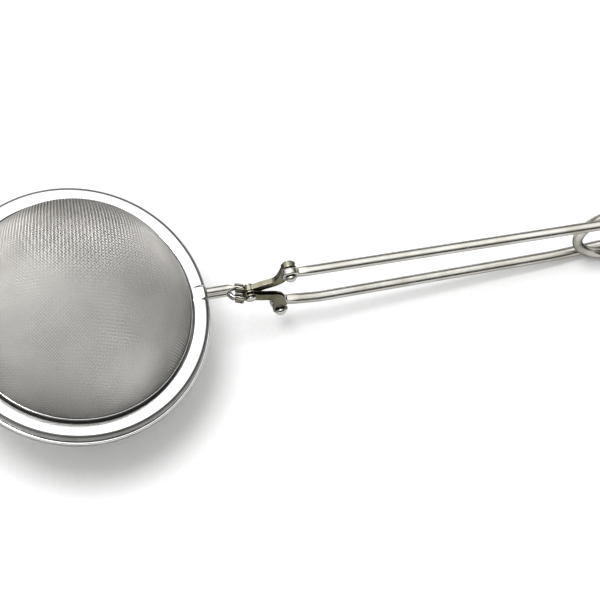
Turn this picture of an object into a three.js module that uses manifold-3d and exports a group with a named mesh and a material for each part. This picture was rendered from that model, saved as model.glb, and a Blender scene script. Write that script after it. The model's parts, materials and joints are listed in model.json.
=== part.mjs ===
// A snap tea strainer: two woven-wire bowls that close into a ball, opened by squeezing a sprung wire handle.
// Millimetres. The part lies closed on a table, resting on its lower bowl and on the coil of its handle.
// It is drawn in its own plane first: +X runs from the ball along the handle, the rims close on Z = 0, and
// every hinge axis runs along Y. The whole is then tipped about Y until ball and coil both touch the table.
import * as THREE from 'three';
import { mergeVertices } from 'three/addons/utils/BufferGeometryUtils.js';
import Module from 'manifold-3d';

const wasm = await Module();
wasm.setup();

// ---- driving dimensions -------------------------------------------------------------------------------
const RIM_OUTER_R = 26;          // flange of each bowl, 52 mm across
const RIM_INNER_R = 23.5;        // inside of the rim's turned-in lip
const RIM_TOP = 2.05;            // from the closing plane to the flange's outer face
const RIM_SHEET = 0.5;
const RIM_EDGE_R = 0.45;         // pressed corner of the rim
const CLOSE_GAP = 0.15;          // half of the gap between the closed rims
const LIP_END = 1.05;            // where the turned-in lip stops

const CRIMP_INNER_R = 22.9;      // collar that holds the edge of the wire cloth
const CRIMP_SHEET = 0.35;
const CRIMP_TOP = 3.2;           // stands out of the rim round the foot of the cloth
const CRIMP_FLANGE_R = 25.2;
const CRIMP_FLANGE_Z = 0.3;

const BOWL_BASE_R = 22.6;        // outside of the wire cloth where it enters the collar
const BOWL_BASE_Z = 0.4;
const BOWL_EDGE_SLOPE = 88;      // degrees, nearly a full hemisphere
const BOWL_SHELL = 0.4;

const STUB_R = 0.75;             // wire that joins a bowl's rim to its lever
const STUB_Z = 1.05;
const STUB_START_X = 24.2;
const STUB_END_X = 31.2;
const STUB_BEND_X = 27.5;        // where it leaves the bowl's middle plane for its lever
const STUB_STEPS = 12;
const STUB_SLOT_R = 1.05;        // notch that the rim and collar leave for it
const SLOT_PAST = 0.4;           // how far the notch goes in past the wire's end
const BLADE_THICK = 0.4;
const BLADE_END_X = 33.0;
const BLADE_OVERLAP = 0.6;       // length where the round wire turns into the blade

const HINGE_SIDE = -1.2;         // the levers sit slightly to one side of the bowls' centre
const PIVOT_X = 34.4;
const JOINT_X = 41.2;            // pins between levers and arms
const JOINT_Z = 8.5;
const TAIL_BENDS = [[37.0, 1.1], [39.9, 2.5]];   // x and z of the points that a lever's tail turns through
const LEVER_WIDE = 1.0;
const LEVER_Y = 0.6;             // each lever's middle, one either side of the hinge's centre
const LEVER_WEB = 0.25;
const LEVER_HALF_TALL = 1.15;
const LEVER_END_R = 1.45;
const LEVER_FRONT_X = 31.6;
const LEVER_FRONT_END_X = 33.2;
const LEVER_FRONT_WIDE = 1.2;    // the front is opened out round the stub's blade
const LEVER_FRONT_HALF_TALL = 0.95;
const LEVER_SLOT_SHIFT = 0.3;    // moves the fold's hollow towards its open edge
const LEVER_MOUTH_TALL = 2.1;    // height of the cut that lets the blade in
const LEVER_STEPS = 12;

const PIN_R = 0.65;
const PIN_HEAD_R = 1.05;
const PIN_HEAD = 0.5;
const PIN_DOME = { side: 0.4, shoulderR: 0.7, shoulder: 0.85 };   // shares of a head's height and radius
const PIN_SIDES = 20;
const DRILL_LENGTH = 12;
const PIN_PLAY = 0.15;           // running gap round and beside a pin
const OPEN_PIVOT_PLAY = 0.45;    // the upper arm's eye is looser: it closes the linkage

const WIRE_R = 1;                // handle wire, 2 mm
const ARM_Y = 0.55;              // the arms' eyes, beside their levers
const EYE_THICK = 0.9;
const EYE_R = 1.75;
const EYE_NECK = 5;              // length of the flattened end
const NECK_OVERLAP = 1;          // the round wire runs this far into it
const NECK_TAPER = 0.8;          // its half height where it leaves the wire, as a share of the wire's radius
const COIL_X = 108.4;
const COIL_R = 9;
const COIL_TURNS = 1.5;
const COIL_PITCH = 2.2;
const FACE_GAP = 0.3;            // between the coil's ends and the arms

const RING_SIDES = 60;
const EDGE_STEPS = 3;
const BOWL_SIDES = 48;
const BOWL_RINGS = 9;
const WIRE_ARC = 5;              // curve divisions of a half wire, twice as many sides
const PLATE_ARC = 8;
const COIL_STEPS_PER_TURN = 32;

const HALVES = { upper: 1, lower: -1 };
const COIL_HALF_Y = COIL_PITCH * COIL_TURNS / 2;

// ---- materials ----------------------------------------------------------------------------------------
const finish = (color, roughness) => new THREE.MeshStandardMaterial({ color, roughness, metalness: 1 });
const polished = finish(0xe4e4e2, 0.18);
const wireCloth = finish(0xa3a19c, 0.42);
const pressed = finish(0xb9b7b0, 0.3);
const springWire = finish(0xcfcdc8, 0.22);

// ---- shape helpers ------------------------------------------------------------------------------------
function bare(geometry) {
  const out = geometry.clone();
  out.deleteAttribute('normal');
  out.deleteAttribute('uv');
  return mergeVertices(out, 1e-5);
}

function solid(geometry) {
  const merged = bare(geometry);
  return new wasm.Manifold(new wasm.Mesh({
    numProp: 3,
    vertProperties: new Float32Array(merged.attributes.position.array),
    triVerts: new Uint32Array(merged.index.array),
  }));
}

function geometryOf(manifold) {
  const mesh = manifold.getMesh();
  const out = new THREE.BufferGeometry();
  out.setAttribute('position', new THREE.BufferAttribute(new Float32Array(mesh.vertProperties), 3));
  out.setIndex(new THREE.BufferAttribute(new Uint32Array(mesh.triVerts), 1));
  out.computeVertexNormals();
  return out;
}

// A closed profile of [radius, z] points, anticlockwise, turned about the Z axis.
function turned(profile, sides) {
  const points = [...profile, profile[0]].map(([r, z]) => new THREE.Vector2(r, z));
  return new THREE.LatheGeometry(points, sides).rotateX(Math.PI / 2);
}

// Points on an arc in a profile's plane, ends included, angles in degrees.
function arc(cx, cy, radius, from, to, steps) {
  return Array.from({ length: steps + 1 }, (_, i) => {
    const angle = THREE.MathUtils.degToRad(from + (to - from) * i / steps);
    return [cx + radius * Math.cos(angle), cy + radius * Math.sin(angle)];
  });
}

function wireAlong(path, radius, steps) {
  const section = new THREE.Shape().absarc(0, 0, radius, 0, 2 * Math.PI);
  const settings = { extrudePath: path, steps, curveSegments: WIRE_ARC, bevelEnabled: false };
  return new THREE.ExtrudeGeometry(section, settings);
}

// A side outline in X and Z, given a thickness about the plane Y = middle.
function plate(shape, thick, middle) {
  return new THREE.ExtrudeGeometry(shape, { depth: thick, curveSegments: PLATE_ARC, bevelEnabled: false })
    .rotateX(Math.PI / 2).translate(0, middle + thick / 2, 0);
}

// A round-ended strip about a centre line of [x, z] points.
function strip(line, halfWidth) {
  const middle = new THREE.CatmullRomCurve3(line.map(([x, z]) => new THREE.Vector3(x, z, 0)));
  const sides = { left: [], right: [] };
  for (let i = 0; i <= LEVER_STEPS; i++) {
    const p = middle.getPointAt(i / LEVER_STEPS);
    const t = middle.getTangentAt(i / LEVER_STEPS);
    sides.left.push(new THREE.Vector2(p.x - t.y * halfWidth, p.y + t.x * halfWidth));
    sides.right.push(new THREE.Vector2(p.x + t.y * halfWidth, p.y - t.x * halfWidth));
  }
  return new THREE.Shape([...sides.right, ...sides.left.reverse()]);
}

function disc(x, z, radius) {
  return new THREE.Shape().absarc(x, z, radius, 0, 2 * Math.PI);
}

function pinHole(x, z, radius) {
  return solid(new THREE.CylinderGeometry(radius, radius, DRILL_LENGTH, PIN_SIDES).translate(x, 0, z));
}

// Everything on the lower half is the upper half's shape turned half round about X: y and z change sign.
function turnedOver(geometry, side) {
  return side > 0 ? geometry : geometry.rotateX(Math.PI);
}

// ---- bowls --------------------------------------------------------------------------------------------
function stubSlot() {
  const from = STUB_START_X - SLOT_PAST;
  const to = RIM_OUTER_R + RIM_SHEET;
  const round = new THREE.CylinderGeometry(STUB_SLOT_R, STUB_SLOT_R, to - from, PIN_SIDES);
  return solid(round.rotateZ(Math.PI / 2).translate((from + to) / 2, 0, STUB_Z));
}

function rim() {
  const top = RIM_TOP - RIM_EDGE_R;
  const profile = [
    [RIM_OUTER_R - RIM_SHEET, CLOSE_GAP],
    [RIM_OUTER_R, CLOSE_GAP],
    ...arc(RIM_OUTER_R - RIM_EDGE_R, top, RIM_EDGE_R, 0, 90, EDGE_STEPS),
    ...arc(RIM_INNER_R + RIM_EDGE_R, top, RIM_EDGE_R, 90, 180, EDGE_STEPS),
    [RIM_INNER_R, LIP_END],
    [RIM_INNER_R + RIM_SHEET, LIP_END],
    [RIM_INNER_R + RIM_SHEET, RIM_TOP - RIM_SHEET],
    [RIM_OUTER_R - RIM_SHEET, RIM_TOP - RIM_SHEET],
  ];
  return geometryOf(solid(turned(profile, RING_SIDES)).subtract(stubSlot()));
}

function crimpRing() {
  const outer = CRIMP_INNER_R + CRIMP_SHEET;
  const flangeTop = CRIMP_FLANGE_Z + CRIMP_SHEET;
  const profile = [
    [CRIMP_INNER_R, CRIMP_FLANGE_Z],
    [CRIMP_FLANGE_R, CRIMP_FLANGE_Z],
    [CRIMP_FLANGE_R, flangeTop],
    [outer, flangeTop],
    [outer, CRIMP_TOP],
    [CRIMP_INNER_R, CRIMP_TOP],
  ];
  return geometryOf(solid(turned(profile, RING_SIDES)).subtract(stubSlot()));
}

function meshBowl() {
  const radius = BOWL_BASE_R / Math.sin(THREE.MathUtils.degToRad(BOWL_EDGE_SLOPE));
  const centre = BOWL_BASE_Z - radius * Math.cos(THREE.MathUtils.degToRad(BOWL_EDGE_SLOPE));
  const edge = 90 - BOWL_EDGE_SLOPE;
  const profile = [
    ...arc(0, centre, radius, edge, 90, BOWL_RINGS),
    ...arc(0, centre, radius - BOWL_SHELL, 90, edge, BOWL_RINGS),
  ];
  return turned(profile, BOWL_SIDES);
}

function stubWire(side) {
  const start = new THREE.Vector3(STUB_START_X, 0, STUB_Z);
  const leverY = HINGE_SIDE * side + LEVER_Y;
  const path = new THREE.CatmullRomCurve3([
    start,
    new THREE.Vector3(RIM_OUTER_R, 0, STUB_Z),
    new THREE.Vector3(STUB_BEND_X, 0, STUB_Z),
    new THREE.Vector3(STUB_END_X - BLADE_OVERLAP, leverY, STUB_Z),
    new THREE.Vector3(STUB_END_X, leverY, STUB_Z),
  ]);
  const bladeStart = STUB_END_X - BLADE_OVERLAP;
  const blade = new THREE.BoxGeometry(BLADE_END_X - bladeStart, BLADE_THICK, 2 * STUB_R);
  blade.translate((BLADE_END_X + bladeStart) / 2, leverY, STUB_Z);
  return geometryOf(solid(wireAlong(path, STUB_R, STUB_STEPS)).add(solid(blade)));
}

// ---- hinge --------------------------------------------------------------------------------------------
// A folded channel: a wider front that grips the stub, a boss at the cross rivet, and a tail that runs back
// and then turns away to the arm's pin.
function lever(side) {
  const middle = HINGE_SIDE * side + LEVER_Y;
  const tail = [[PIVOT_X, 0], ...TAIL_BENDS, [JOINT_X, JOINT_Z]];
  const front = [[LEVER_FRONT_X, STUB_Z], [LEVER_FRONT_END_X, STUB_Z]];
  const body = (thick) => solid(plate(strip(tail, LEVER_HALF_TALL), thick, middle))
    .add(solid(plate(disc(PIVOT_X, 0, LEVER_END_R), thick, middle)))
    .add(solid(plate(disc(JOINT_X, JOINT_Z, LEVER_END_R), thick, middle)));
  const gripped = (thick, halfTall) => solid(plate(strip(front, halfTall), thick, middle));
  const hollow = body(LEVER_WIDE - 2 * LEVER_WEB).translate([LEVER_SLOT_SHIFT, 0, -LEVER_SLOT_SHIFT]);
  const mouth = gripped(LEVER_FRONT_WIDE - 2 * LEVER_WEB, LEVER_MOUTH_TALL / 2);
  return geometryOf(body(LEVER_WIDE)
    .add(gripped(LEVER_FRONT_WIDE, LEVER_FRONT_HALF_TALL))
    .subtract(hollow)
    .subtract(mouth)
    .subtract(pinHole(PIVOT_X, 0, PIN_R + PIN_PLAY))
    .subtract(pinHole(JOINT_X, JOINT_Z, PIN_R + PIN_PLAY)));
}

// A shank along Y with a domed head at each end. near and far are the faces that the heads clamp.
function rivet(x, z, near, far) {
  const head = (end, out) => {
    const face = end + out * PIN_PLAY;
    return [
      [PIN_R, face],
      [PIN_HEAD_R, face],
      [PIN_HEAD_R, face + out * PIN_HEAD * PIN_DOME.side],
      [PIN_HEAD_R * PIN_DOME.shoulderR, face + out * PIN_HEAD * PIN_DOME.shoulder],
      [0, face + out * PIN_HEAD],
    ];
  };
  const profile = [...head(near, -1).reverse(), ...head(far, 1)];
  const points = profile.map(([r, y]) => new THREE.Vector2(r, y));
  return new THREE.LatheGeometry(points, PIN_SIDES).translate(x, 0, z);
}

// ---- handle -------------------------------------------------------------------------------------------
function arm(side, eyeHoleR) {
  const eyeY = HINGE_SIDE * side - ARM_Y;
  const coilY = HINGE_SIDE * side - COIL_HALF_Y;
  const eye = new THREE.Vector3(JOINT_X, eyeY, JOINT_Z);
  const coilEnd = new THREE.Vector3(COIL_X - FACE_GAP, coilY, COIL_R);
  const neck = eye.clone().lerp(coilEnd, EYE_NECK / eye.distanceTo(coilEnd));
  const wireStart = neck.clone().setX(neck.x - NECK_OVERLAP);
  const wire = solid(wireAlong(new THREE.LineCurve3(wireStart, coilEnd), WIRE_R, 1));
  const flatEnd = neck.x + NECK_OVERLAP / 2;
  const flat = new THREE.Shape([
    new THREE.Vector2(eye.x, eye.z - WIRE_R),
    new THREE.Vector2(flatEnd, neck.z - WIRE_R * NECK_TAPER),
    new THREE.Vector2(flatEnd, neck.z + WIRE_R * NECK_TAPER),
    new THREE.Vector2(eye.x, eye.z + WIRE_R),
  ]);
  return geometryOf(wire
    .add(solid(plate(flat, EYE_THICK, eyeY)))
    .add(solid(plate(disc(eye.x, eye.z, EYE_R), EYE_THICK, eyeY)))
    .subtract(pinHole(eye.x, eye.z, eyeHoleR)));
}

class CoilCurve extends THREE.Curve {
  getPoint(t, target = new THREE.Vector3()) {
    const turn = COIL_TURNS * t;
    const angle = Math.PI / 2 - 2 * Math.PI * turn;
    const y = HINGE_SIDE - COIL_HALF_Y + COIL_PITCH * turn;
    return target.set(COIL_X + COIL_R * Math.cos(angle), y, COIL_R * Math.sin(angle));
  }
}

function coil() {
  return wireAlong(new CoilCurve(), WIRE_R, COIL_TURNS * COIL_STEPS_PER_TURN);
}

// ---- assembly -----------------------------------------------------------------------------------------
const drawn = new THREE.Group();

function place(name, geometry, material) {
  const mesh = new THREE.Mesh(geometry, material);
  mesh.name = name;
  drawn.add(mesh);
}

for (const [half, side] of Object.entries(HALVES)) {
  place(`${half}_mesh_bowl`, turnedOver(meshBowl(), side), wireCloth);
  place(`${half}_rim`, turnedOver(rim(), side), polished);
  place(`${half}_crimp_ring`, turnedOver(crimpRing(), side), pressed);
  place(`${half}_stub_wire`, turnedOver(stubWire(side), side), springWire);
  place(`${half}_lever`, turnedOver(lever(side), side), pressed);
  const leverFar = HINGE_SIDE * side + LEVER_Y + LEVER_WIDE / 2;
  const eyeNear = HINGE_SIDE * side - ARM_Y - EYE_THICK / 2;
  place(`${half}_arm_pin`, turnedOver(rivet(JOINT_X, JOINT_Z, eyeNear, leverFar), side), pressed);
  const eyeHoleR = PIN_R + (side > 0 ? OPEN_PIVOT_PLAY : PIN_PLAY);
  place(`${half}_arm`, turnedOver(arm(side, eyeHoleR), side), springWire);
}
const leverFace = LEVER_Y + LEVER_WIDE / 2;
place('scissor_rivet', rivet(PIVOT_X, 0, HINGE_SIDE - leverFace, HINGE_SIDE + leverFace), pressed);
place('handle_coil', coil(), springWire);

// The tip that puts the bowl's sphere and the coil's outside on the table together.
const bowlRadius = BOWL_BASE_R / Math.sin(THREE.MathUtils.degToRad(BOWL_EDGE_SLOPE));
const bowlCentre = bowlRadius * Math.cos(THREE.MathUtils.degToRad(BOWL_EDGE_SLOPE)) - BOWL_BASE_Z;
drawn.rotation.y = Math.asin((bowlRadius - bowlCentre - COIL_R - WIRE_R) / COIL_X);

const part = new THREE.Group();
part.add(drawn);
part.updateMatrixWorld(true);
const box = new THREE.Box3().setFromObject(drawn, true);
drawn.position.set(-(box.min.x + box.max.x) / 2, 0, -box.min.z);
part.updateMatrixWorld(true);

export default part;
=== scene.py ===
"""Looks of the snap tea strainer: woven-wire bowls, pressed rims, folded levers and a sprung wire handle.

Shapes are drawn in the strainer's own plane, in millimetres: x runs from the ball along the handle, the rims
close on z = 0 and every hinge axis runs along y. at() then puts them in the row frame, in metres.
"""
import json
import math

import bmesh
import bpy
import numpy as np
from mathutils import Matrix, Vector


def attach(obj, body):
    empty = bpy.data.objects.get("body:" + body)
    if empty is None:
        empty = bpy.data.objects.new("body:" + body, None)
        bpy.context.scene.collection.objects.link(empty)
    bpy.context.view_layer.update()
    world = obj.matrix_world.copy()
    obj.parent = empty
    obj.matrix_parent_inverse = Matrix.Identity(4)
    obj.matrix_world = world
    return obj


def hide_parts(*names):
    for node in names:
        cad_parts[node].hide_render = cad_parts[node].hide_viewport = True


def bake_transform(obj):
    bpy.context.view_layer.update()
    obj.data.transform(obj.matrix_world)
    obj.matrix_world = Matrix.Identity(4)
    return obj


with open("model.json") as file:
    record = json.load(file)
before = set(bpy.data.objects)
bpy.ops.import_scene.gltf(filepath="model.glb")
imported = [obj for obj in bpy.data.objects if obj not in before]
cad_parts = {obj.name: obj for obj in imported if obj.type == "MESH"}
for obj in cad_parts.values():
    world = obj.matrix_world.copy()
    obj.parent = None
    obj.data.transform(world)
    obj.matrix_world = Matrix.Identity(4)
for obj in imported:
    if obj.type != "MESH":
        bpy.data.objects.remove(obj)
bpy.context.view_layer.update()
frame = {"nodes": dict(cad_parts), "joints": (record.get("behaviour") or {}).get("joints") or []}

MM = 0.001

# ---- sizes, in millimetres, as in the CAD source -----------------------------------------------------------
PIVOT_X = 34.4
HINGE_SIDE = -1.2
JOINT_X, JOINT_Z = 41.2, 8.5
LEVER_Y, LEVER_WIDE = 0.6, 1.0
STUB_R, STUB_Z = 0.75, 1.05
STUB_START_X, STUB_END_X, BLADE_END_X = 24.2, 31.2, 33.0
BLADE_THICK = 0.4
PIN_R, PIN_HEAD_R, PIN_PLAY = 0.65, 1.05, 0.15
EYE_PLAY = {"upper": 0.38, "lower": PIN_PLAY}
WIRE_R = 1.0
ARM_Y, EYE_THICK, EYE_R, EYE_NECK = 0.55, 0.9, 1.75, 5.0
EYE_SWELL = 0.6
ARM_BOW = {1: 0.0, -1: 0.6}
COIL_X, COIL_R, COIL_TURNS, COIL_PITCH = 108.4, 9.0, 1.5, 2.2
BOWL_BASE_R, BOWL_BASE_Z, BOWL_EDGE_SLOPE = 22.6, 0.4, 88.0
BOWL_R = BOWL_BASE_R / math.sin(math.radians(BOWL_EDGE_SLOPE))
BOWL_CENTRE_Z = BOWL_BASE_Z - BOWL_R * math.cos(math.radians(BOWL_EDGE_SLOPE))

# ---- the frame: where that plane lies ----------------------------------------------------------------------
joint_at = {j["name"]: Vector(j["pos_m"]) for j in frame["joints"]}
along = (joint_at["handle_spring"] - joint_at["scissor"]).normalized()
across = Vector((0, 1, 0))
upward = along.cross(across)
origin = joint_at["scissor"] - along * PIVOT_X * MM - across * HINGE_SIDE * MM
BASIS = np.array([along, across, upward]) * MM


def at(points, side=1):
    """Points of the upper half to the row frame; side -1 turns them half round about x for the lower half."""
    p = np.atleast_2d(np.asarray(points, float)) * (1, side, side)
    return p @ BASIS + np.array(origin)


def eased(share):
    """0 to 1 with a soft start and end."""
    share = np.clip(share, 0, 1)
    return share * share * (3 - 2 * share)


def face_outwards(mesh):
    shell = bmesh.new()
    shell.from_mesh(mesh)
    bmesh.ops.recalc_face_normals(shell, faces=shell.faces)
    shell.to_mesh(mesh)
    shell.free()


def mesh_piece(name, points, faces, side=1, material=None):
    """A smooth-shaded piece from points in the drawing plane."""
    mesh = bpy.data.meshes.new(name)
    mesh.from_pydata(at(points, side).tolist(), [], faces)
    mesh.validate()
    face_outwards(mesh)
    mesh.polygons.foreach_set("use_smooth", [True] * len(mesh.polygons))
    if material:
        mesh.materials.append(material)
    piece = bpy.data.objects.new(name, mesh)
    bpy.context.scene.collection.objects.link(piece)
    return piece


def dress(piece, body, slot, *nodes):
    """Ties a piece to its body and hides the CAD nodes that it stands for; slot is not used."""
    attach(piece, body)
    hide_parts(*nodes)


# ---- materials ---------------------------------------------------------------------------------------------
class Nodes:
    """A short way to write a node tree."""

    def __init__(self, tree):
        self.tree = tree
        tree.nodes.clear()

    def add(self, kind, values=None, **settings):
        node = self.tree.nodes.new(kind)
        for key, value in settings.items():
            setattr(node, key, value)
        for key, value in (values or {}).items():
            if isinstance(value, bpy.types.NodeSocket):
                self.tree.links.new(value, node.inputs[key])
            else:
                node.inputs[key].default_value = value
        return node

    def ramp(self, factor, stops):
        node = self.add("ShaderNodeValToRGB", {"Fac": factor})
        elements = node.color_ramp.elements
        while len(elements) < len(stops):
            elements.new(0.5)
        for element, (position, colour) in zip(elements, stops):
            element.position = position
            element.color = (*colour, 1)
        return node.outputs["Color"]


CLOUD_SCALE = 140.0
HAIRLINE_WIDE = 0.035
RELIEF_DEPTH = 0.00002


def paint_shade(n, colours, place, fade):
    """Paints shade into the colours: darkens them along a direction from the ball's centre.

    A fade is (direction, both ways, (from, to) in mm, (share at from, share at to)).
    """
    direction, both_ways, span, shares = fade
    middle = n.add("ShaderNodeVectorMath", {0: place, 1: tuple(origin)}, operation="SUBTRACT")
    dot = n.add(
        "ShaderNodeVectorMath",
        {0: middle.outputs["Vector"], 1: tuple(direction)},
        operation="DOT_PRODUCT",
    ).outputs["Value"]
    if both_ways:
        dot = n.add("ShaderNodeMath", {0: dot}, operation="ABSOLUTE").outputs["Value"]
    limits = {"From Min": span[0] * MM, "From Max": span[1] * MM, "To Min": shares[0], "To Max": shares[1]}
    shade = n.add("ShaderNodeMapRange", {"Value": dot, **limits}, interpolation_type="SMOOTHSTEP")
    scaled = n.add("ShaderNodeVectorMath", {0: colours, "Scale": shade.outputs["Result"]}, operation="SCALE")
    return scaled.outputs["Vector"]


def steel(name, colour, stain, rough, grain, grain_size, scratch, stretch=(1, 1, 1), glancing=1.0, fades=()):
    """Stainless steel: faint stains, varying roughness, a drawn or rolled grain, and rubbed marks.

    glancing tints the metal seen edge on; fades paint shade into the colour.
    """
    material = bpy.data.materials.new(name)
    material.use_nodes = True
    n = Nodes(material.node_tree)
    place = n.add("ShaderNodeTexCoord").outputs["Object"]
    stretched = n.add("ShaderNodeMapping", {"Vector": place, "Scale": stretch}).outputs["Vector"]
    cloud = n.add(
        "ShaderNodeTexNoise", {"Vector": place, "Scale": CLOUD_SCALE, "Detail": 4.0, "Roughness": 0.6}
    )
    grains = n.add("ShaderNodeTexNoise", {"Vector": stretched, "Scale": grain_size, "Detail": 3.0})
    marks = n.add(
        "ShaderNodeTexVoronoi",
        {"Vector": stretched, "Scale": grain_size * 0.35},
        feature="DISTANCE_TO_EDGE",
    )
    hairline = n.add(
        "ShaderNodeMapRange",
        {
            "Value": marks.outputs["Distance"],
            "From Min": 0.0,
            "From Max": HAIRLINE_WIDE,
            "To Min": 1.0,
            "To Max": 0.0,
        },
    )
    colours = n.ramp(cloud.outputs["Fac"], [(0.32, stain), (0.58, colour)])
    # painted shade: each fade darkens the colour along its direction
    for fade in fades:
        colours = paint_shade(n, colours, place, fade)
    roughness = n.add(
        "ShaderNodeMapRange",
        {
            "Value": cloud.outputs["Fac"],
            "From Min": 0.3,
            "From Max": 0.7,
            "To Min": rough[1],
            "To Max": rough[0],
        },
    )
    worn = n.add(
        "ShaderNodeMath",
        {0: hairline.outputs["Result"], 1: scratch, 2: roughness.outputs["Result"]},
        operation="MULTIPLY_ADD",
        use_clamp=True,
    )
    relief = n.add(
        "ShaderNodeMath",
        {0: hairline.outputs["Result"], 1: -scratch, 2: grains.outputs["Fac"]},
        operation="MULTIPLY_ADD",
    )
    bump = n.add(
        "ShaderNodeBump",
        {"Height": relief.outputs["Value"], "Strength": grain, "Distance": RELIEF_DEPTH},
    )
    surface = n.add(
        "ShaderNodeBsdfPrincipled",
        {
            "Base Color": colours,
            "Roughness": worn.outputs["Value"],
            "Metallic": 1.0,
            "Specular Tint": (glancing, glancing, glancing, 1),
            "Normal": bump.outputs["Normal"],
        },
    )
    n.add("ShaderNodeOutputMaterial", {"Surface": surface.outputs["BSDF"]})
    return material


# painted shade on the wire cloth: darker towards the rims, towards the far side and towards the near side
FAR_SIDE_PAINTED_SHADE = Vector((0.45, 0.89, 0))
NEAR_SIDE_PAINTED_SHADE = Vector((0.3, -0.95, 0))
CLOTH_PAINTED_SHADE = [
    (upward, True, (0, 15), (0.5, 1)),
    (FAR_SIDE_PAINTED_SHADE, False, (9, 20), (1, 0.38)),
    (NEAR_SIDE_PAINTED_SHADE, False, (-6, 10), (1, 0.78)),
]
ALONG_WIRE = (0.08, 1, 1)
# name: colour, stain, (least, most) roughness, grain depth, grain size, scratch depth
METALS = {
    "wire_cloth": ((0.82, 0.795, 0.765), (0.70, 0.68, 0.65), (0.36, 0.42), 0.12, 2600.0, 0.05),
    "polished_rim": ((0.80, 0.80, 0.79), (0.72, 0.72, 0.71), (0.10, 0.2), 0.08, 1500.0, 0.05),
    # painted dark reflection: the darker colour put on the rims' outer walls and the collars' uprights
    "painted_shade_wall": ((0.22, 0.22, 0.21), (0.15, 0.15, 0.14), (0.25, 0.4), 0.15, 1500.0, 0.08),
    "pressed_steel": ((0.24, 0.23, 0.18), (0.13, 0.12, 0.08), (0.2, 0.34), 0.25, 1800.0, 0.1),
    "spring_wire": ((0.50, 0.49, 0.46), (0.36, 0.345, 0.3), (0.18, 0.28), 0.2, 1600.0, 0.08),
}
EXTRAS = {
    "wire_cloth": {"fades": CLOTH_PAINTED_SHADE},
    "pressed_steel": {"glancing": 0.3},
    "spring_wire": {"stretch": ALONG_WIRE, "glancing": 0.25},
}
STEEL = {name: steel(name, *values, **EXTRAS.get(name, {})) for name, values in METALS.items()}


# ---- woven wire cloth --------------------------------------------------------------------------------------
CLOTH_WIRE_R = 0.105
CLOTH_PITCH = 0.5
CLOTH_TURN = math.radians(33)
CLOTH_MEAN_R = BOWL_R - 2 * CLOTH_WIRE_R
CLOTH_REACH = CLOTH_MEAN_R * math.radians(BOWL_EDGE_SLOPE)
WIRE_SIDES = 3
DRIFT = 0.022
DRIFT_KNOTS = 7
SEEDS = {True: 11, False: 23}


def cloth_wire(u, v, rise):
    """Centre line, across and outward directions of one wire of flat cloth (u, v) pressed over the bowl."""
    reach = np.maximum(np.hypot(u, v), 1e-9)
    polar = reach / CLOTH_MEAN_R
    cx, cy = u / reach, v / reach
    x = cx * math.cos(CLOTH_TURN) - cy * math.sin(CLOTH_TURN)
    y = cx * math.sin(CLOTH_TURN) + cy * math.cos(CLOTH_TURN)
    out = np.stack([np.sin(polar) * x, np.sin(polar) * y, np.cos(polar)], 1)
    line = out * (CLOTH_MEAN_R + rise)[:, None]
    line[:, 2] += BOWL_CENTRE_Z
    tangent = np.gradient(line, axis=0)
    tangent /= np.linalg.norm(tangent, axis=1)[:, None]
    over = np.cross(tangent, out)
    over /= np.linalg.norm(over, axis=1)[:, None]
    return line, over, np.cross(over, tangent)


def weave(name, warp, side, material):
    """One direction of the cloth's wires, each passing over and under the other direction's."""
    rng = np.random.default_rng(SEEDS[warp])
    points, faces = [], []
    count = int(CLOTH_REACH / CLOTH_PITCH)
    for k in range(-count, count):
        lane = (k + 0.5) * CLOTH_PITCH
        half = math.sqrt(max(CLOTH_REACH**2 - lane**2, 0.0))
        steps = int(half / (CLOTH_PITCH / 2))
        if steps < 3:
            continue
        i = np.arange(-steps, steps + 1)
        run = i * CLOTH_PITCH / 2
        crossing = i % 2 != 0
        parity = np.where(((i - 1) // 2 + k) % 2 == 0, 1.0, -1.0) * (1 if warp else -1)
        rise = np.where(crossing, parity * CLOTH_WIRE_R, 0.0)
        knots = np.linspace(-half, half, DRIFT_KNOTS)
        drift = np.interp(run, knots, rng.normal(0, DRIFT, DRIFT_KNOTS))
        lanes = np.full(len(run), lane) + drift
        u, v = (run, lanes) if warp else (lanes, run)
        line, over, out = cloth_wire(u, v, rise)
        turns = np.arange(WIRE_SIDES) * 2 * math.pi / WIRE_SIDES + math.pi / 4
        ring = [line + CLOTH_WIRE_R * (math.cos(a) * over + math.sin(a) * out) for a in turns]
        base = len(points)
        points.extend(np.stack(ring, 1).reshape(-1, 3))
        for s in range(len(run) - 1):
            a = base + s * WIRE_SIDES
            for q in range(WIRE_SIDES):
                r = (q + 1) % WIRE_SIDES
                faces.append((a + q, a + r, a + WIRE_SIDES + r, a + WIRE_SIDES + q))
        last = base + (len(run) - 1) * WIRE_SIDES
        faces.append(tuple(range(base + WIRE_SIDES - 1, base - 1, -1)))
        faces.append(tuple(range(last, last + WIRE_SIDES)))
    return mesh_piece(name, np.array(points), faces, side, material)


# ---- turned rings ------------------------------------------------------------------------------------------
def rounded(corners, steps=5):
    """A closed [r, z] profile from (r, z, corner radius) entries."""
    out = []
    count = len(corners)
    for i, (x, y, radius) in enumerate(corners):
        p = np.array([x, y])
        before = np.array(corners[i - 1][:2]) - p
        after = np.array(corners[(i + 1) % count][:2]) - p
        if radius <= 0:
            out.append(p)
            continue
        before /= np.linalg.norm(before)
        after /= np.linalg.norm(after)
        angle = math.acos(np.clip(before @ after, -1, 1))
        cut = radius / math.tan(angle / 2)
        middle = p + (before + after) / np.linalg.norm(before + after) * radius / math.sin(angle / 2)
        start, end = p + before * cut - middle, p + after * cut - middle
        a0, a1 = math.atan2(start[1], start[0]), math.atan2(end[1], end[0])
        a1 = a0 + (a1 - a0 + math.pi) % (2 * math.pi) - math.pi
        for a in np.linspace(a0, a1, steps):
            out.append(middle + radius * np.array([math.cos(a), math.sin(a)]))
    return np.array(out)


FINE_TURNS = np.radians(np.arange(-6, 6.01, 0.25))
COARSE_TURNS = np.radians(np.arange(7, 353.5, 1.5))


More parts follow.
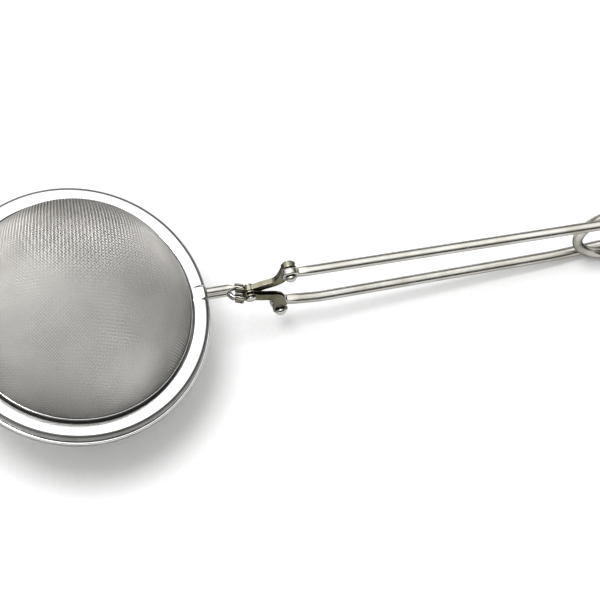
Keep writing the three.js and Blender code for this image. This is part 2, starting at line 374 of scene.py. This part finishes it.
def ring_piece(name, profile, side, shape, painted_dark):
    """The profile turned about z, with finer steps near the stub.

    shape may move the points; the last argument, given (r, z), picks the faces that get the darker colour, a
    painted dark reflection.
    """
    turns = np.concatenate([FINE_TURNS, COARSE_TURNS])
    r, z = profile[:, 0], profile[:, 1]
    points = np.stack(
        [np.outer(np.cos(turns), r), np.outer(np.sin(turns), r), np.tile(z, (len(turns), 1))], 2
    )
    if shape:
        points = shape(points)
    m, faces = len(r), []
    for s in range(len(turns)):
        t = (s + 1) % len(turns)
        for q in range(m):
            w = (q + 1) % m
            faces.append((s * m + q, t * m + q, t * m + w, s * m + w))
    ring = mesh_piece(name, points.reshape(-1, 3), faces, side, STEEL["polished_rim"])
    # the second colour is a painted dark reflection, on the faces that the last argument picks
    ring.data.materials.append(STEEL["painted_shade_wall"])
    middles = (profile + np.roll(profile, -1, axis=0)) / 2
    dark = [int(painted_dark(*middle)) for middle in middles]
    ring.data.polygons.foreach_set("material_index", dark * len(turns))
    return ring


RIM_TOP = 2.05
RIM_SHEET = 0.4
RIM_LIP_R = 23.1
LIP_END = 1.0
BUMP_HIGH = 0.6
BUMP_WIDE, BUMP_Y = 1.4, -0.45
# where the sheet starts to rise along the radius and up the wall, and over what length
BUMP_START_X, BUMP_START_Z, BUMP_RUN = 23.6, 0.9, 0.7
ARCH_R, WALL_X = 0.98, 25.0


def rim_profile(outer, corner, edge):
    return rounded(
        [
            (outer, 0.15, edge),
            (outer, RIM_TOP, corner),
            (RIM_LIP_R, RIM_TOP, 0.12),
            (RIM_LIP_R, LIP_END, 0.1),
            (RIM_LIP_R + RIM_SHEET, LIP_END, 0.1),
            (RIM_LIP_R + RIM_SHEET, RIM_TOP - RIM_SHEET, 0.1),
            (outer - RIM_SHEET, RIM_TOP - RIM_SHEET, max(corner - RIM_SHEET, 0.1)),
            (outer - RIM_SHEET, 0.15, 0.05),
        ]
    )


def stub_bump(points):
    """The sheet rises over the end of the stub wire, and the outer wall arches round it."""
    x, y, z = points[..., 0], points[..., 1], points[..., 2]
    near = eased((x - BUMP_START_X) / BUMP_RUN)
    hill = near * np.exp(-(((y - BUMP_Y) / BUMP_WIDE) ** 8))
    top = np.clip((z - BUMP_START_Z) / BUMP_RUN, 0, 1)
    raised = z + BUMP_HIGH * hill * top
    arch = STUB_Z + np.sqrt(np.maximum(ARCH_R**2 - y**2, 0))
    wall = (x > WALL_X) & (np.abs(y) < ARCH_R)
    points[..., 2] = np.where(wall, np.maximum(raised, np.minimum(arch, RIM_TOP + BUMP_HIGH - 0.05)), raised)
    return points


COLLAR_PROFILE = rounded(
    [
        (22.52, 0.35, 0),
        (25.2, 0.35, 0.1),
        (25.2, 0.65, 0.1),
        (22.72, 0.65, 0.1),
        (22.72, 1.9, 0.5),
        (22.6, 2.8, 0.09),
        (22.42, 2.8, 0.09),
        (22.52, 1.9, 0.5),
    ]
)


# ---- swept wires -------------------------------------------------------------------------------------------
# power of a section: 2 is an ellipse, 5 is near a rectangle
ROUND, SQUARED = 2.0, 5.0


def sweep(path, half_thick, half_tall, power, sides):
    """A section swept along path: thickness nearest y, height across the path; a higher power squares it."""
    path = np.asarray(path, float)
    tangent = np.gradient(path, axis=0)
    tangent /= np.linalg.norm(tangent, axis=1)[:, None]
    flat = np.array([0, 1.0, 0]) - tangent * tangent[:, 1:2]
    flat /= np.linalg.norm(flat, axis=1)[:, None]
    tall = np.cross(tangent, flat)
    count = len(path)
    thick, high, square = (np.broadcast_to(v, count) for v in (half_thick, half_tall, power))
    points = []
    for a in (np.arange(sides) + 0.5) * 2 * math.pi / sides:
        c, s = math.cos(a), math.sin(a)
        e = 2 / square
        across_part = np.sign(c) * np.abs(c) ** e * thick
        high_part = np.sign(s) * np.abs(s) ** e * high
        points.append(path + flat * across_part[:, None] + tall * high_part[:, None])
    points = np.stack(points, 1).reshape(-1, 3)
    faces = []
    for i in range(count - 1):
        for q in range(sides):
            r = (q + 1) % sides
            faces.append((i * sides + q, i * sides + r, (i + 1) * sides + r, (i + 1) * sides + q))
    last = (count - 1) * sides
    faces.append(tuple(range(sides - 1, -1, -1)))
    faces.append(tuple(range(last, last + sides)))
    return points, faces


DRILL_SIDES = 32
DRILL_REACH = 3


def drilled(piece, x, y, z, radius):
    """Cuts a round hole along y through the piece and keeps the result as its mesh."""
    count = DRILL_SIDES
    turns = np.arange(count) * 2 * math.pi / count
    ring = [(x + radius * math.cos(a), z + radius * math.sin(a)) for a in turns]
    points = [(px, y + end, pz) for end in (-DRILL_REACH, DRILL_REACH) for px, pz in ring]
    faces = [(i, (i + 1) % count, count + (i + 1) % count, count + i) for i in range(count)]
    faces += [tuple(range(count - 1, -1, -1)), tuple(range(count, 2 * count))]
    drill = mesh_piece("drill", points, faces)
    cut = piece.modifiers.new("hole", "BOOLEAN")
    cut.operation, cut.object, cut.solver = "DIFFERENCE", drill, "EXACT"
    keep_shape(piece)
    bpy.data.objects.remove(drill)


def keep_shape(piece):
    """Applies the piece's modifiers."""
    bpy.context.view_layer.update()
    evaluated = piece.evaluated_get(bpy.context.evaluated_depsgraph_get())
    mesh = bpy.data.meshes.new_from_object(evaluated)
    piece.modifiers.clear()
    piece.data = mesh


def soften(points_mm, faces, voxel, rounds, share):
    """Rounds every edge: the shape is remeshed in millimetres, smoothed and thinned out."""
    mesh = bpy.data.meshes.new("soften")
    mesh.from_pydata([tuple(p) for p in points_mm], [], faces)
    temp = bpy.data.objects.new("soften", mesh)
    bpy.context.scene.collection.objects.link(temp)
    remesh = temp.modifiers.new("remesh", "REMESH")
    remesh.mode, remesh.voxel_size = "VOXEL", voxel
    relax = temp.modifiers.new("relax", "SMOOTH")
    relax.factor, relax.iterations = 0.5, rounds
    thin = temp.modifiers.new("thin", "DECIMATE")
    thin.ratio = share
    keep_shape(temp)
    points = np.array([v.co for v in temp.data.vertices])
    out = [tuple(p.vertices) for p in temp.data.polygons]
    bpy.data.objects.remove(temp)
    return points, out


def cad_in_mm(node):
    """A CAD node's own mesh, back in the drawing plane, in millimetres."""
    data = frame["nodes"][node].data
    p = np.array([v.co for v in data.vertices]) - np.array(origin)
    p = p @ np.array([along, across, upward]).T / MM
    keys, index, unique = {}, [], []
    for q in np.round(p, 4):
        key = tuple(q)
        if key not in keys:
            keys[key] = len(unique)
            unique.append(key)
        index.append(keys[key])
    faces = [tuple(index[v] for v in f.vertices) for f in data.polygons]
    return unique, [f for f in faces if len(set(f)) == len(f)]


FRONT_SHIFT = 0.4
FRONT_BACK_X, FRONT_RUN = 32.95, 1.2


def front_shift(x):
    """How far a lever's front leans back towards the bowls' middle plane, where its stub comes from."""
    return FRONT_SHIFT * eased((FRONT_BACK_X - x) / FRONT_RUN)


# ---- bowls, rims, collars and stubs ------------------------------------------------------------------------
HALVES = {"upper": 1, "lower": -1}
# outer radius, top corner, bottom edge
RIM_EDGE = {"upper": (26.0, 0.9, 0.12), "lower": (26.4, 0.7, 0.3)}
# voxel, rounds of smoothing, share of faces kept
LEVER_FINISH = (0.04, 4, 0.3)
STUB_STEPS, STUB_SIDES = 60, 20
# how far before its end in x a stub starts to bend aside and to flatten into a blade, and over what length
STUB_ASIDE_BACK, STUB_ASIDE_RUN = 0.9, 1.2
STUB_FLAT_BACK, STUB_FLAT_RUN = 1.2, 1.4


def rim_wall(r, z):
    """The outer wall of a rim, in the darker colour: a painted dark reflection."""
    return r > 25.45 and 0.4 < z < 1.98


def collar_wall(r, z):
    """The upright of a collar, in the darker colour: a painted dark reflection."""
    return r > 22.6 and z > 0.5


for half, side in HALVES.items():
    body = f"{half}_half"
    warp = weave(f"{half}_cloth_warp", True, side, STEEL["wire_cloth"])
    dress(warp, body, "wire_cloth", f"{half}_mesh_bowl")
    weft = weave(f"{half}_cloth_weft", False, side, STEEL["wire_cloth"])
    dress(weft, body, "wire_cloth", f"{half}_mesh_bowl")
    rim = ring_piece(f"{half}_pressed_rim", rim_profile(*RIM_EDGE[half]), side, stub_bump, rim_wall)
    dress(rim, body, "polished_rim", f"{half}_rim")
    collar = ring_piece(f"{half}_collar", COLLAR_PROFILE, side, None, collar_wall)
    dress(collar, body, "pressed_steel", f"{half}_crimp_ring")

    x = np.linspace(STUB_START_X, BLADE_END_X, STUB_STEPS)
    aside = eased((x - STUB_END_X + STUB_ASIDE_BACK) / STUB_ASIDE_RUN)
    y = (HINGE_SIDE * side + LEVER_Y + front_shift(x) * side) * aside
    line = np.stack([x, y, np.full(len(x), STUB_Z)], 1)
    flattened = np.clip((x - (STUB_END_X - STUB_FLAT_BACK)) / STUB_FLAT_RUN, 0, 1)
    thick = STUB_R + (BLADE_THICK / 2 - STUB_R) * flattened
    power = ROUND + (SQUARED - ROUND) * flattened
    points, faces = sweep(line, thick, STUB_R + 0.1 * flattened, power, STUB_SIDES)
    stub = mesh_piece(f"{half}_stub", points, faces, side, STEEL["spring_wire"])
    dress(stub, body, "spring_wire", f"{half}_stub_wire")

    points, faces = soften(*cad_in_mm(f"{half}_lever"), *LEVER_FINISH)
    points[:, 1] += front_shift(points[:, 0])
    lever = mesh_piece(f"{half}_folded_lever", points, faces, 1, STEEL["pressed_steel"])
    dress(lever, body, "pressed_steel", f"{half}_lever")


# ---- rivets ------------------------------------------------------------------------------------------------
RIVET_SIDES, DOME_STEPS = 36, 8
# how high the two heads of a pin stand, at the near and the far end
PIN_DOMES = {"upper": (0.85, 0.4), "lower": (0.4, 0.85)}
SCISSOR_DOMES = (0.5, 0.45)


def rivet(name, x, z, near, far, domes, side, material, dimple=0.1):
    """A shank along y with a domed head at each end, each with a small set mark."""

    def head(end, out, high):
        face = end + out * PIN_PLAY
        shape = [(PIN_R, face), (PIN_HEAD_R - 0.08, face), (PIN_HEAD_R, face + out * 0.08)]
        for a in np.linspace(12, 90, DOME_STEPS):
            c, s = math.cos(math.radians(a)), math.sin(math.radians(a))
            shape.append((PIN_HEAD_R * c, face + out * (0.1 + (high - 0.1) * s)))
        shape[-1] = (0.001, shape[-1][1] - out * dimple)
        return shape

    profile = list(reversed(head(near, -1, domes[0]))) + head(far, 1, domes[1])
    sides, points, faces = RIVET_SIDES, [], []
    for a in np.arange(sides) * 2 * math.pi / sides:
        points += [(x + r * math.cos(a), y, z + r * math.sin(a)) for r, y in profile]
    m = len(profile)
    for s in range(sides):
        t = (s + 1) % sides
        faces += [(s * m + q, s * m + q + 1, t * m + q + 1, t * m + q) for q in range(m - 1)]
    faces.append(tuple(s * m for s in range(sides)))
    faces.append(tuple(s * m + m - 1 for s in reversed(range(sides))))
    return mesh_piece(name, points, faces, side, material)


for half, side in HALVES.items():
    far = HINGE_SIDE * side + LEVER_Y + LEVER_WIDE / 2
    near = HINGE_SIDE * side - ARM_Y - EYE_THICK / 2 - EYE_SWELL
    pin = rivet(f"{half}_pin", JOINT_X, JOINT_Z, near, far, PIN_DOMES[half], side, STEEL["spring_wire"])
    dress(pin, f"{half}_half", "pressed_steel", f"{half}_arm_pin")
face = LEVER_Y + LEVER_WIDE / 2
near, far = HINGE_SIDE - face, HINGE_SIDE + face
cross_pin = rivet("cross_pin", PIVOT_X, 0, near, far, SCISSOR_DOMES, 1, STEEL["spring_wire"])
dress(cross_pin, "lower_half", "pressed_steel", "scissor_rivet")

# ---- handle: one wire, from eye to coil to eye -------------------------------------------------------------
HALF_COIL = COIL_PITCH * COIL_TURNS / 2
COIL_STEPS = 110
HANDLE_SIDES = 24
BOW_IN, BOW_OUT = 9, 14
STRIP_HALF = 0.85


def arm_line(side):
    """From the eye's far edge to the coil, for the upper half."""
    eye = np.array([JOINT_X, HINGE_SIDE * side - ARM_Y - EYE_SWELL / 2, JOINT_Z])
    end = np.array([COIL_X, HINGE_SIDE * side - HALF_COIL, COIL_R])
    heading = (end - eye) / np.linalg.norm(end - eye)
    reach = np.linalg.norm(end - eye)
    eye_steps = -EYE_R * np.cos(np.linspace(0.12, math.pi, 22))
    neck_steps = np.linspace(EYE_R, EYE_NECK + 1.5, 14)
    steps = np.concatenate([eye_steps[:-1], neck_steps, np.linspace(EYE_NECK + 3, reach, 40)])
    line = eye + heading * steps[:, None]
    settle = np.clip(steps / EYE_NECK, 0, 1)[:, None]
    line[:, 1] = (eye[1] * (1 - settle) + line[:, 1:2] * settle)[:, 0]
    line[:, 1] += ARM_BOW[side] * eased(steps / BOW_IN) * eased((reach - steps) / BOW_OUT)
    return line, steps


def arm_section(steps):
    """Half thickness, half height and squareness along an arm: a flattened eye, a neck, then round wire."""
    disc = np.sqrt(np.maximum(EYE_R**2 - steps**2, 0))
    neck = eased((steps - EYE_R * 0.6) / (EYE_NECK - EYE_R))
    strip = STRIP_HALF + (WIRE_R - STRIP_HALF) * neck
    tall = np.where(steps > 0, np.maximum(disc, strip), np.maximum(disc, 0.05))
    eye_half = (EYE_THICK + EYE_SWELL) / 2
    thick = eye_half + (WIRE_R - eye_half) * neck
    edge = np.clip((steps + EYE_R) / 0.25, 0.35, 1)
    return thick * edge, tall, SQUARED - (SQUARED - ROUND) * neck


upper_line, upper_steps = arm_line(1)
lower_line, lower_steps = arm_line(-1)
turn = np.linspace(0, COIL_TURNS, COIL_STEPS)[1:-1]
angle = math.pi / 2 - 2 * math.pi * turn
helix = np.stack(
    [COIL_X + COIL_R * np.cos(angle), HINGE_SIDE - HALF_COIL + COIL_PITCH * turn, COIL_R * np.sin(angle)], 1
)
path = np.vstack([upper_line, helix, (lower_line * (1, -1, -1))[::-1]])
sections = [
    np.concatenate([a, np.full(len(helix), c), b[::-1]])
    for a, b, c in zip(arm_section(upper_steps), arm_section(lower_steps), (WIRE_R, WIRE_R, ROUND))
]
points, faces = sweep(path, *sections, HANDLE_SIDES)
handle = mesh_piece("handle_wire", points, faces, 1, STEEL["spring_wire"])
drilled(handle, JOINT_X, HINGE_SIDE - ARM_Y, JOINT_Z, PIN_R + EYE_PLAY["upper"])
drilled(handle, JOINT_X, HINGE_SIDE + ARM_Y, -JOINT_Z, PIN_R + EYE_PLAY["lower"])
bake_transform(handle)
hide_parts("upper_arm", "lower_arm", "handle_coil")

# ---- floor, light and camera -------------------------------------------------------------------------------
FLOOR_HALF = 6.0
FLOOR_Z = -0.00005
SKY_AXIS = (-0.16, 0.12, 1.0)
SKY_STRENGTH = 1.95
floor_mesh = bpy.data.meshes.new("floor")
corners = [(x * FLOOR_HALF, y * FLOOR_HALF, FLOOR_Z) for x, y in ((-1, -1), (1, -1), (1, 1), (-1, 1))]
floor_mesh.from_pydata(corners, [], [(0, 1, 2, 3)])
floor = bpy.data.objects.new("floor", floor_mesh)
bpy.context.scene.collection.objects.link(floor)
paper = bpy.data.materials.new("paper")
paper.use_nodes = True
n = Nodes(paper.node_tree)
fibre = n.add("ShaderNodeTexNoise", {"Vector": n.add("ShaderNodeTexCoord").outputs["Object"], "Scale": 900.0})
tone = n.ramp(fibre.outputs["Fac"], [(0.3, (0.69, 0.69, 0.69)), (0.7, (0.71, 0.71, 0.71))])
surface = n.add("ShaderNodeBsdfPrincipled", {"Base Color": tone, "Roughness": 0.9, "Specular IOR Level": 0.1})
n.add("ShaderNodeOutputMaterial", {"Surface": surface.outputs["BSDF"]})
floor_mesh.materials.append(paper)

world = bpy.data.worlds.new("studio")
bpy.context.scene.world = world
world.use_nodes = True
n = Nodes(world.node_tree)
direction = n.add("ShaderNodeTexCoord").outputs["Generated"]
lean = n.add("ShaderNodeVectorMath", {0: direction, 1: SKY_AXIS}, operation="DOT_PRODUCT").outputs["Value"]
sky = n.ramp(
    lean, [(0.0, (0.03, 0.03, 0.028)), (0.45, (0.05, 0.05, 0.046)), (0.66, (0.6, 0.6, 0.6)), (0.8, (1, 1, 1))]
)
glow = n.add("ShaderNodeBackground", {"Color": sky, "Strength": SKY_STRENGTH})
n.add("ShaderNodeOutputWorld", {"Surface": glow.outputs["Background"]})


def soft_light(name, place, aim, size, power, colour=(1, 1, 1)):
    data = bpy.data.lights.new(name, "AREA")
    data.shape, data.size, data.energy, data.color = "DISK", size, power, colour
    lamp = bpy.data.objects.new(name, data)
    bpy.context.scene.collection.objects.link(lamp)
    lamp.location = place
    lamp.rotation_mode = "QUATERNION"
    lamp.rotation_quaternion = (Vector(aim) - Vector(place)).to_track_quat("-Z", "Y")


soft_light("key", (-0.26, 0.04, 1.5), (-0.03, 0, 0), 0.6, 16.0)

AZIMUTH, ELEVATION = math.radians(-12.616), math.radians(68.184)
DISTANCE = 1.884
SENSOR = 36
# the camera looks at a point this far right of the origin and above it, and its view is this wide there
AIM_RIGHT, AIM_UP = 43.2381 * MM, 3.0019 * MM
VIEW_WIDE = 114.2857 * MM
back = Vector(
    (math.sin(AZIMUTH) * math.cos(ELEVATION), -math.cos(AZIMUTH) * math.cos(ELEVATION), math.sin(ELEVATION))
)
right = Vector((math.cos(AZIMUTH), math.sin(AZIMUTH), 0))
aim = origin + right * AIM_RIGHT + back.cross(right) * AIM_UP
camera_data = bpy.data.cameras.new("camera")
camera_data.sensor_width = SENSOR
camera_data.lens = SENSOR * DISTANCE / VIEW_WIDE
camera_data.clip_start, camera_data.clip_end = 0.1, 50
camera = bpy.data.objects.new("camera", camera_data)
bpy.context.scene.collection.objects.link(camera)
camera.rotation_mode = "QUATERNION"
camera.rotation_quaternion = (-back).to_track_quat("-Z", "Y")
camera.location = aim + back * DISTANCE
bpy.context.scene.camera = camera
bpy.context.scene.view_settings.view_transform = "Standard"
